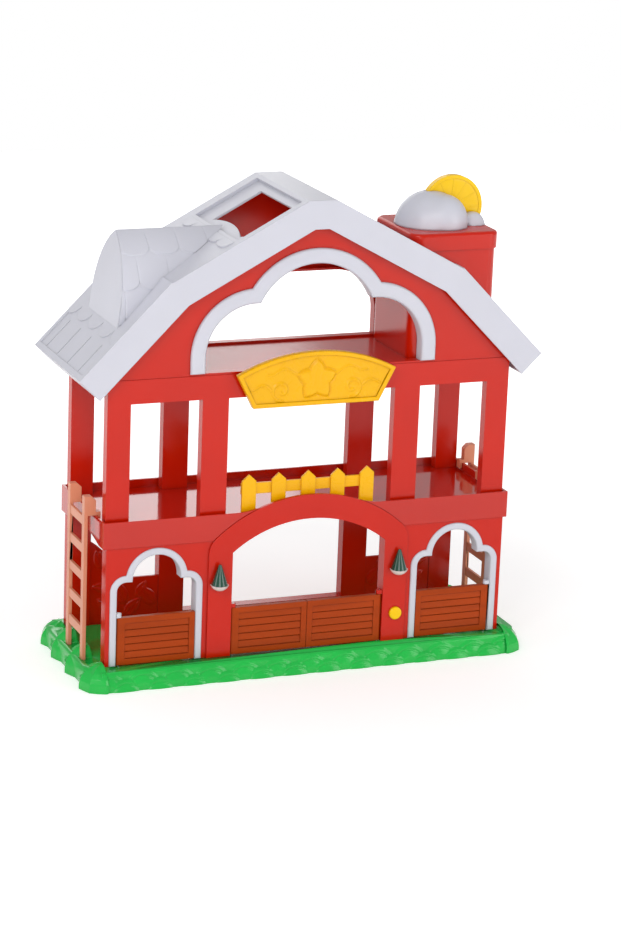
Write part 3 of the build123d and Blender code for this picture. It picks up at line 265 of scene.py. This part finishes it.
END_X = 0.237
for side, label in ((-1, "left"), (1, "right")):
    grass = bmesh.new()
    for y, reach, height in ((-0.074, 0.026, 0.025), (-0.022, 0.026, 0.029), (0.030, 0.026, 0.030), (0.076, 0.024, 0.024)):
        tuft(grass, side * END_X, y, reach, height, 0 if side > 0 else math.pi)
    low, high = (0.2385, 0.3) if side > 0 else (-0.3, -0.2385)
    for place, normal in (((low, 0, 0), (-1, 0, 0)), ((high, 0, 0), (1, 0, 0))):
        bmesh.ops.bisect_plane(grass, geom=grass.verts[:] + grass.edges[:] + grass.faces[:], plane_co=place,
                               plane_no=normal, clear_outer=True)
    new_piece("grass_tufts_" + label, grass, grass_green, "barn", crease=12)

# ---------------------------------------------------------------- walls of the ground storey
# Front and rear wall are thin-walled mouldings in barn red, hollow from inside, with rounded edges.
# The front one has a raised arch band round its centre doorway; the rear one is pillars with low panels.
barn_red = moulded_plastic("barn_red", (0.60, 0.011, 0.0), gloss=0.2, shade=0.03, mirror=0.36)
finished(barn_red, "front_wall", "rear_wall")

PANEL_FACE = 0.0620           # the rear panels' inner faces, from the middle
LEAVES = ((0.141, 0.052, 0.030, 0.9), (0.158, 0.040, 0.028, 2.3), (0.172, 0.057, 0.028, 1.3), (0.190, 0.046, 0.028, 0.5),
          (0.148, 0.060, 0.024, 2.0), (0.188, 0.080, 0.028, 1.1), (0.199, 0.100, 0.026, 1.2), (0.196, 0.066, 0.024, 0.2))


def leaf(mesh, x, z, length, turn):
    """A low domed leaf with a groove down its middle, moulded on a rear panel's inner face."""
    def point(u, v):
        across = 2 * v - 1
        half = 0.0002 + 0.29 * length * math.sin(math.pi * u ** 0.8) ** 0.8 if 0 < u < 1 else 0.0002
        along = length * (u - 0.5)
        rise = 0.0013 * math.sqrt(1 - across ** 2) * eased(min(u, 1 - u) / 0.12)
        rise -= 0.0007 * math.exp(-(across / 0.14) ** 2) * eased(min(u, 1 - u) / 0.2)
        return (x + along * math.cos(turn) - across * half * math.sin(turn), PANEL_FACE + 0.0002 - rise,
                z + along * math.sin(turn) + across * half * math.cos(turn))
    sheet_grid(mesh, 22, 14, point)


leaves = bmesh.new()
for x, z, length, turn in LEAVES:
    leaf(leaves, x, z, length, turn)
    leaf(leaves, -x, z, length, math.pi - turn)
bmesh.ops.remove_doubles(leaves, verts=leaves.verts, dist=0.000001)
new_piece("rear_panel_leaves", leaves, barn_red, "barn", crease=50)

# ---------------------------------------------------------------- steel pins and screws
# Small turned and drawn steel parts: the half-doors' hinge pins, the screws under the base, the sun's axle,
# the button's spring. Bright zinc-plated steel with fine turning lines.


def plated_steel(name, colour, rough):
    """Zinc-plated steel with fine lines round it and cloudy patches."""
    finish = bpy.data.materials.new(name)
    finish.use_nodes = True
    tree = finish.node_tree
    shader = tree.nodes["Principled BSDF"]
    place = wired(tree, "ShaderNodeTexCoord").outputs["Object"]
    patch = wired(tree, "ShaderNodeTexNoise", Vector=place, Scale=400.0, Detail=4.0).outputs["Fac"]
    lines = wired(tree, "ShaderNodeTexWave", {"bands_direction": "Z"}, Vector=place, Scale=900.0,
                  Distortion=1.0, Detail=2.0).outputs["Fac"]
    tint = wired(tree, "ShaderNodeValToRGB", Fac=patch)
    tint.color_ramp.elements[0].color = [c * 0.75 for c in colour] + [1]
    tint.color_ramp.elements[1].color = list(colour) + [1]
    tree.links.new(tint.outputs[0], shader.inputs["Base Color"])
    dull = wired(tree, "ShaderNodeMapRange", Value=patch, **{"To_Min": rough - 0.08, "To_Max": rough + 0.12})
    tree.links.new(dull.outputs["Result"], shader.inputs["Roughness"])
    ridge = wired(tree, "ShaderNodeBump", Strength=0.2, Distance=0.00003, Height=lines)
    tree.links.new(ridge.outputs[0], shader.inputs["Normal"])
    shader.inputs["Metallic"].default_value = 1.0
    return finish


steel = plated_steel("plated_steel", (0.62, 0.62, 0.63), 0.3)
finished(steel, "door_hinge_pins", "base_screws", "sun_axle", "button_spring", "battery_screw", "button_cells")

# ---------------------------------------------------------------- doorway trims
# White trefoil trims clip into the side doorways. Satin white plastic with a rounded, almost half-round face.
trim_white = moulded_plastic("trim_white", (0.64, 0.64, 0.71), gloss=0.3, shade=0.015, glow=0.04)


def rounded_front(node, finish, body, width, faces_y):
    """A copy of a CAD moulding with the front edges at the depths faces_y rounded over, standing for it."""
    mesh = own_mesh(node)
    edges = []
    for edge in mesh.edges:
        if len(edge.link_faces) != 2 or edge.calc_face_angle_signed() < math.radians(40):
            continue
        if any(all(abs(vert.co.y - y) < 0.00005 for vert in edge.verts) for y in faces_y):
            edges.append(edge)
    bmesh.ops.bevel(mesh, geom=edges, offset=width, offset_type="OFFSET", segments=4, profile=0.5, affect="EDGES",
                    clamp_overlap=False)
    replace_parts(new_piece(node + "_moulding", mesh, finish, body), node)


for node in ("left_door_trim", "right_door_trim"):
    rounded_front(node, trim_white, "barn", 0.0018, (-0.077,))

# ---------------------------------------------------------------- half-doors
# Four boarded half-doors in satin brown, moulded with boards in a frame; each turns on its steel pin.
door_brown = moulded_plastic("door_brown", (0.40, 0.046, 0.0), gloss=0.4, shade=0.10, grain=0.3,
                             flow=(8, 60, 90), rub=0.2, mirror=0.2)
finished(door_brown, "left_side_door", "centre_left_door", "centre_right_door", "right_side_door", edge=0.0005)

BOARD_COUNT = 5
BOARD_BORDER = 0.0065
BOARD_GAP = 0.0008
BARREL = 0.003


def door_boards(door, hinge_left):
    """The five lapped boards in a half-door's frame, each thickest along its lower edge."""
    (x0, y0, z0), (x1, y1, z1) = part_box(door)
    low = x0 + BOARD_BORDER + (BARREL if hinge_left else 0)
    high = x1 - BOARD_BORDER - (0 if hinge_left else BARREL)
    foot, top = z0 + BOARD_BORDER, z1 - BOARD_BORDER
    back = y0 + 0.0017
    pitch = (top - foot) / BOARD_COUNT
    boards = bmesh.new()
    for index in range(BOARD_COUNT):
        z = foot + index * pitch
        profile = ((back, z + BOARD_GAP), (back - 0.0009, z + BOARD_GAP), (back - 0.00125, z + BOARD_GAP + 0.0005),
                   (back - 0.0011, z + 0.0025), (back - 0.0005, z + pitch - 0.0003), (back, z + pitch - 0.0001))
        left = [boards.verts.new((low + 0.0001, y, level)) for y, level in profile]
        right = [boards.verts.new((high - 0.0001, y, level)) for y, level in profile]
        for near in range(len(profile) - 1):
            boards.faces.new((left[near], right[near], right[near + 1], left[near + 1]))
        boards.faces.new(left)
        boards.faces.new(right[::-1])
    new_piece(door + "_boards", boards, door_brown, door)


for door, hinge_left in (("left_side_door", True), ("centre_left_door", True), ("centre_right_door", False),
                         ("right_side_door", False)):
    door_boards(door, hinge_left)

# ---------------------------------------------------------------- sound unit
# A black case screwed behind the right pilaster holds the circuit board, loudspeaker and two cells; a yellow
# push button comes out through the wall.
case_black = moulded_plastic("case_black", (0.022, 0.022, 0.024), gloss=0.5, shade=0.2, grain=0.8)
board_green = moulded_plastic("board_lacquer", (0.02, 0.16, 0.05), gloss=0.25, shade=0.3, flow=(400, 400, 400))
finished(case_black, "sound_case", "battery_door", "speaker")
finished(board_green, "circuit_board")
sun_yellow = moulded_plastic("sun_yellow", (1.0, 0.60, 0.0), gloss=0.24, mirror=0.3, shade=0.04, glow=0.05)
finished(sun_yellow, "sound_button")

# ---------------------------------------------------------------- wall lamps
# Two toy lamps pegged into the pilasters: a dark green cone and a pale bowl under it, both glossy.
lamp_green = moulded_plastic("lamp_green", (0.004, 0.060, 0.034), gloss=0.08, shade=0.15, coat=0.6, soft_edge=0.0004)
lamp_cream = moulded_plastic("lamp_cream", (0.80, 0.70, 0.68), gloss=0.12, shade=0.04, coat=0.4, soft_edge=0.0005,
                             glow=0.1)
finished(lamp_green, "left_lamp_shade", "right_lamp_shade")
finished(lamp_cream, "left_lamp_bowl", "right_lamp_bowl")

# ---------------------------------------------------------------- deck and fence
# The upper floor is a red tray that sits on both walls like a lid, its top polished like a mirror; a yellow
# picket fence is pegged into it.
deck_red = moulded_plastic("deck_red", (0.56, 0.010, 0.0), gloss=0.1, shade=0.03, coat=0.4, mirror=0.36)
finished(deck_red, "deck", edge=0.0007)
fence_yellow = moulded_plastic("fence_yellow", (0.96, 0.50, 0.0), gloss=0.28, mirror=0.3, shade=0.04, glow=0.04)
finished(fence_yellow, "picket_fence", edge=0.0007, steps=3)

# ---------------------------------------------------------------- upper frames, loft floor and gable trim
# Posts, beam and gable are one moulding at the front and one at the back, with the loft floor between them.
finished(barn_red, "front_gable_frame", "rear_gable_frame", "loft_floor")
rounded_front("gable_trim", trim_white, "barn", 0.0030, (-0.073,))

# ---------------------------------------------------------------- sign
# The yellow sign over the loft's beam: hollow moulding with a raised rim, a plain star and scrolls.
sign_yellow = moulded_plastic("sign_yellow", (0.93, 0.48, 0.0), gloss=0.28, mirror=0.3, shade=0.04, glow=0.05)
SIGN_FLOOR_Y = -0.0798
SIGN_RIM_Y = -0.0820
SIGN_LOW, SIGN_ARC_Z, SIGN_ARC_RADIUS = 0.3101, 0.1680, 0.1927
SIGN_HALF_LOW, SIGN_HALF_HIGH = 0.0706, 0.0861
STAR_X, STAR_Z, STAR_REACH = 0.0, 0.3335, 0.0235


def star_relief(x, z):
    """Height of a plump five-pointed star with rounded points and a groove round it at x, z."""
    angle = math.atan2(z - STAR_Z, x - STAR_X) - math.pi / 2
    away = math.hypot(x - STAR_X, z - STAR_Z)
    fold = abs((angle * 5 / (2 * math.pi) + 0.5) % 1 - 0.5) * 2
    reach = STAR_REACH * (0.66 + 0.34 * (1 - fold) ** 1.2)
    if away < reach:
        return 0.0020 * eased((reach - away) / 0.0034) ** 0.7
    return -0.0009 * math.exp(-((away - reach - 0.0009) / 0.0008) ** 2)


def scroll_relief(x, z):
    """Height of the soft scrolls beside the star: a curl that runs out to the sign's end, and a wave over it."""
    x = abs(x)
    height = 0.0
    for step in range(40):
        t = step / 39
        turn = math.pi * (1.55 - 2.1 * t)
        radius = 0.0035 + 0.0085 * t
        px, pz = 0.0415 + radius * math.cos(turn), 0.3235 + radius * math.sin(turn)
        height = max(height, 0.0016 * eased(1 - math.hypot(x - px, z - pz) / (0.0034 - 0.0010 * t)))
    for step in range(40):
        t = step / 39
        px, pz = 0.0535 + 0.021 * t, 0.3245 + 0.0085 * math.sin(math.pi * t * 0.9) * (1 - 0.55 * t)
        height = max(height, 0.0014 * eased(1 - math.hypot(x - px, z - pz) / (0.0028 - 0.001 * t)))
        px, pz = 0.0205 + 0.038 * t, 0.3435 - 0.0035 * math.cos(2.2 * math.pi * t) + 0.0015 * t
        height = max(height, 0.0010 * eased(1 - math.hypot(x - px, z - pz) / 0.0020))
    return height


def sign_panel(u, v):
    """A point of the sign's sunk panel, with its ornament in relief."""
    x = (2 * u - 1) * (SIGN_HALF_LOW + (SIGN_HALF_HIGH - SIGN_HALF_LOW) * v)
    top = SIGN_ARC_Z + math.sqrt(SIGN_ARC_RADIUS ** 2 - x * x)
    z = SIGN_LOW + v * (top - SIGN_LOW)
    border = eased(min(u, 1 - u) / 0.02) * eased(min(v, 1 - v) / 0.04)
    star, scroll = star_relief(x, z), scroll_relief(x, z)
    return x, SIGN_FLOOR_Y - border * (scroll if scroll > max(star, 0) else star), z


board = own_mesh("sign_board")
sunk = [face for face in board.faces
        if all(abs(vert.co.x) < 0.0865 and -0.0816 < vert.co.y < -0.0803 and vert.co.z > 0.3099 for vert in face.verts)]
bmesh.ops.delete(board, geom=sunk, context="FACES")
rim_edges = [edge for edge in board.edges if len(edge.link_faces) == 2 and edge.calc_face_angle(0) > math.radians(40)
             and all(abs(vert.co.y - SIGN_RIM_Y) < 0.00005 for vert in edge.verts)]
bmesh.ops.bevel(board, geom=rim_edges, offset=0.0012, offset_type="OFFSET", segments=4, profile=0.5, affect="EDGES",
                clamp_overlap=False)
sheet_grid(board, 260, 84, sign_panel)
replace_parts(new_piece("sign_moulding", board, sign_yellow, "barn"), "sign_board")

# ---------------------------------------------------------------- tower
# A red box stands on the loft floor and comes up through the roof; its lid carries the cloud and sun.
finished(barn_red, "tower_box", "tower_lid")

# ---------------------------------------------------------------- roof
# One large white moulding with fascias, a dormer and a sunk skylight.
roof_white = moulded_plastic("roof_white", (0.64, 0.64, 0.71), gloss=0.34, shade=0.015, soft_edge=0.0010, glow=0.03)
finished(roof_white, "roof")

DORMER_Y, DORMER_HALF, SPRING_Z, APEX_Z = -0.0045, 0.050, 0.412, 0.493
ARCH_RADIUS = ((APEX_Z - SPRING_Z) ** 2 + DORMER_HALF ** 2) / (2 * DORMER_HALF)
ARCH_SHIFT = ARCH_RADIUS - DORMER_HALF
ARCH_TURN = math.acos(ARCH_SHIFT / ARCH_RADIUS)
KNEE_X, KNEE_Z, UPPER_RISE, LOWER_RISE = -0.1692, 0.4491, 0.5389, 1.0169
SHINGLE_PITCH, SHINGLE_TIER, SHINGLE_ROUND = 0.034, 0.0385, 0.0095


def shingle_relief(x, s):
    """Height of the rounded shingles at x, a way s down from the dormer's ridge; each lies over the one below."""
    height = 0.0
    for tier in range(3):
        foot = 0.0375 + SHINGLE_TIER * tier
        start = -0.196 if tier % 2 == 0 else -0.213
        dx = (x - start + SHINGLE_PITCH / 2) % SHINGLE_PITCH - SHINGLE_PITCH / 2
        across = min(1, abs(dx) / (SHINGLE_PITCH / 2 - 0.0002))
        edge = foot - SHINGLE_ROUND * (1 - math.sqrt(1 - across ** 2.4))
        if s < edge:
            rise = 0.0003 + 0.0012 * max(0, 1 - (foot - s) / SHINGLE_TIER)
            seam = 0.0005 * math.exp(-((SHINGLE_PITCH / 2 - abs(dx)) / 0.0006) ** 2)
            height = max(height, rise * eased((edge - s) / 0.0011) - seam)
    return max(0, height)


def dormer_side(side):
    """The dormer's curved side as a sheet of shingles, from its front to where it meets the slope."""
    def point(u, v):
        s = 0.112 * v
        arc = ARCH_TURN - s / ARCH_RADIUS
        if arc > 0:
            out, level = ARCH_RADIUS * math.cos(arc) - ARCH_SHIFT, SPRING_Z + ARCH_RADIUS * math.sin(arc)
            normal = (math.cos(arc), math.sin(arc))
        else:
            out, level, normal = DORMER_HALF, SPRING_Z + arc * ARCH_RADIUS, (1, 0)
        start = -0.2223 + 0.12551 * (level - 0.395) + 0.0012
        rise = UPPER_RISE if level > KNEE_Z else LOWER_RISE
        end = KNEE_X + (level - KNEE_Z) / rise + 0.001
        x = start + (end - start) * u
        lift = 0.00015 + shingle_relief(x, s) * eased(u / 0.012)
        return x, DORMER_Y + side * (out + lift * normal[0]), level + lift * normal[1]
    return point


shingles = bmesh.new()
for side in (-1, 1):
    sheet_grid(shingles, 230, 190, dormer_side(side), turned=side < 0)
new_piece("dormer_shingles", shingles, roof_white, "barn", crease=60)


def tile_row(mesh, s_foot, y_low, y_high, pitch, length, thick):
    """A row of round-ended tiles on the left upper slope, their ends at s_foot down from the ridge."""
    slope = Vector((-0.1531, 0, -0.0825)).normalized()
    ridge = Vector((-0.0161, 0, 0.5316))

    def point(u, v):
        y = y_low + (y_high - y_low) * u
        dx = (y - y_low) % pitch - pitch / 2
        edge = s_foot - 0.3 * pitch * (1 - math.sqrt(max(0, 1 - (abs(dx) / (pitch / 2)) ** 2.2)))
        s = s_foot - length + (edge - s_foot + length) * v
        lift = 0.0001 + thick * (0.25 + 0.75 * v) if 0 < u < 1 and 0 < v < 1 else -0.003
        place = ridge + slope * s + Vector((0, y, 0)) + Vector((-0.474, 0, 0.880)) * lift
        return place
    sheet_grid(mesh, 200, 24, point)


tiles = bmesh.new()
tile_row(tiles, 0.1075, -0.069, 0.0690, 0.0276, 0.016, 0.0016)
new_piece("skylight_tiles", tiles, roof_white, "barn", crease=60)

# ---------------------------------------------------------------- cloud and sun
# A white cloud shell holds the axle of the yellow sun, which turns in its slot.
LID_TOP = 0.484
LOBES = ((0.1605, 0.0, 0.040, 0.038), (0.170, -0.015, 0.028, 0.036), (0.170, 0.015, 0.028, 0.034),
         (0.209, -0.011, 0.014, 0.014))
cloud = own_mesh("cloud")
bmesh.ops.triangulate(cloud, faces=[face for face in cloud.faces if len(face.verts) > 4])


def on_lobes(vert):
    """Whether a point lies on the outside of a lobe, clear of the sun's slot and of the lid."""
    if vert.co.z < LID_TOP + 0.0006 or abs(vert.co.y) < 0.0050:
        return False
    for x, y, reach, height in LOBES:
        radius = (reach ** 2 + height ** 2) / (2 * height)
        away = (vert.co - Vector((x, y, LID_TOP + height - radius))).length
        if abs(away - radius) < 0.00015:
            return True
    return False


skin = [vert for vert in cloud.verts if on_lobes(vert)]
for _ in range(40):
    bmesh.ops.smooth_vert(cloud, verts=skin, factor=0.5, use_axis_x=True, use_axis_y=True, use_axis_z=True)
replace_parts(new_piece("cloud_moulding", cloud, roof_white, "barn", crease=50), "cloud")

SUN_X, SUN_Z, SUN_FACE = 0.1865, 0.5025, 0.0040
finished(sun_yellow, "sun_disc", edge=0.0005)


def sun_face(side):
    """A round sheet over the disc's sunk face: softly rippled like flames that turn round the hub."""
    def point(u, v):
        radius, angle = 0.0318 * v, 2 * math.pi * u
        ripple = math.sin(9 * angle + 5 * v + 0.9 * math.sin(4 * angle + 7 * v))
        lift = 0.00035 + 0.00007 * ripple * eased(v / 0.35) * eased((1 - v) / 0.12) - 0.0003 * eased((v - 0.94) / 0.06)
        return (SUN_X + radius * math.cos(angle), side * (SUN_FACE - 0.0006 + lift), SUN_Z + radius * math.sin(angle))
    return point


flames = bmesh.new()
for side in (-1, 1):
    sheet_grid(flames, 180, 26, sun_face(side), turned=side < 0)
bmesh.ops.remove_doubles(flames, verts=flames.verts, dist=0.000001)
new_piece("sun_flames", flames, sun_yellow, "sun", crease=60)

# ---------------------------------------------------------------- ladders
# Tan ladders hook over the deck's rim and stand in sockets in the base.
ladder_tan = moulded_plastic("ladder_tan", (0.75, 0.29, 0.165), gloss=0.36, shade=0.05, glow=0.05)
finished(ladder_tan, "left_ladder", "right_ladder", edge=0.0006)

# ---------------------------------------------------------------- studio
# Pale floor, soft light and the camera at the photograph's angle.
FLOOR_SIDE = 6.0
floor_mesh = bpy.data.meshes.new("studio_floor")
half = FLOOR_SIDE / 2
floor_mesh.from_pydata([(-half, -half, 0), (half, -half, 0), (half, half, 0), (-half, half, 0)], [], [(0, 1, 2, 3)])
floor = bpy.data.objects.new("studio_floor", floor_mesh)
bpy.context.scene.collection.objects.link(floor)
paper = bpy.data.materials.new("studio_paper")
paper.use_nodes = True
tree = paper.node_tree
shader = tree.nodes["Principled BSDF"]
shader.inputs["Base Color"].default_value = (0.82, 0.82, 0.82, 1)
shader.inputs["Roughness"].default_value = 0.9
shader.inputs["Specular IOR Level"].default_value = 0.1
rays = wired(tree, "ShaderNodeLightPath").outputs
seen = wired(tree, "ShaderNodeMath", {"operation": "MAXIMUM"}, _0=rays["Is Camera Ray"],
             _1=rays["Is Glossy Ray"]).outputs[0]
seen = wired(tree, "ShaderNodeMath", {"operation": "MAXIMUM"}, _0=seen, _1=rays["Is Transmission Ray"]).outputs[0]
away = wired(tree, "ShaderNodeVectorMath", {"operation": "LENGTH"},
             _0=wired(tree, "ShaderNodeTexCoord").outputs["Object"]).outputs["Value"]
glow = wired(tree, "ShaderNodeMapRange", Value=away, **{"From_Min": 0.45, "From_Max": 1.6, "To_Min": 0.30,
                                                        "To_Max": 0.85}).outputs["Result"]
glow = wired(tree, "ShaderNodeMath", {"operation": "MULTIPLY"}, _0=seen, _1=glow).outputs[0]
lift = wired(tree, "ShaderNodeMath", {"operation": "ADD"}, _0=glow, _1=0.12).outputs[0]
tree.links.new(lift, shader.inputs["Emission Strength"])
shader.inputs["Emission Color"].default_value = (1, 1, 1, 1)
floor_mesh.materials.append(paper)

world = bpy.data.worlds.new("studio")
bpy.context.scene.world = world
world.use_nodes = True
tree = world.node_tree
tree.nodes.clear()
rays = wired(tree, "ShaderNodeLightPath").outputs
seen = wired(tree, "ShaderNodeMath", {"operation": "MAXIMUM"}, _0=rays["Is Camera Ray"],
             _1=rays["Is Transmission Ray"]).outputs[0]
height = wired(tree, "ShaderNodeSeparateXYZ", Vector=wired(tree, "ShaderNodeTexCoord").outputs["Generated"]).outputs["Z"]
fade = wired(tree, "ShaderNodeMapRange", Value=height, **{"From_Min": 0.0, "From_Max": 1.0, "To_Min": 0.52,
                                                         "To_Max": 0.52}).outputs["Result"]
soft = wired(tree, "ShaderNodeBackground", Color=(1, 1, 1, 1), Strength=fade)
white = wired(tree, "ShaderNodeBackground", Color=(1, 1, 1, 1), Strength=1.0)
mixed = wired(tree, "ShaderNodeMixShader", _0=seen, _1=soft.outputs[0], _2=white.outputs[0])
wired(tree, "ShaderNodeOutputWorld", Surface=mixed.outputs[0])


def softbox(name, place, aim, size, power):
    """A square soft light that looks at a point."""
    lamp = bpy.data.lights.new(name, "AREA")
    lamp.shape, lamp.size, lamp.energy = "SQUARE", size, power
    holder = bpy.data.objects.new(name, lamp)
    bpy.context.scene.collection.objects.link(holder)
    holder.location = place
    holder.rotation_euler = (Vector(aim) - Vector(place)).to_track_quat("-Z", "Y").to_euler()


softbox("key_light", (-1.5, -1.9, 2.0), (0, 0, 0.25), 1.0, 20)
softbox("front_light", (-0.9, -2.7, 0.8), (0, 0, 0.15), 1.2, 12)
softbox("right_light", (1.7, -2.0, 0.7), (0.1, 0, 0.15), 1.2, 12)
softbox("side_light", (-2.4, -0.2, 0.7), (-0.1, 0, 0.15), 1.0, 7)
softbox("back_light", (0.2, 2.2, 1.0), (0, 0, 0.25), 1.4, 9)

LENS_POINT = (-1.2185, -3.0491, 1.1684)
TURN, TILT, ROLL = 0.388257, 0.282784, -0.038780
forward = Vector((math.sin(TURN) * math.cos(TILT), math.cos(TURN) * math.cos(TILT), -math.sin(TILT)))
level = Vector((math.cos(TURN), -math.sin(TURN), 0))
down = forward.cross(level)
right = math.cos(ROLL) * level + math.sin(ROLL) * down
drop = -math.sin(ROLL) * level + math.cos(ROLL) * down
lens = bpy.data.cameras.new("photo_camera")
lens.sensor_fit, lens.sensor_height, lens.lens = "VERTICAL", 36, 117.62
lens.clip_start, lens.clip_end = 0.1, 30
camera = bpy.data.objects.new("photo_camera", lens)
bpy.context.scene.collection.objects.link(camera)
turned = Matrix((right, -drop, -forward)).transposed().to_4x4()
camera.matrix_world = Matrix.Translation(LENS_POINT) @ turned
bpy.context.scene.camera = camera
bpy.context.scene.view_settings.view_transform = "Standard"
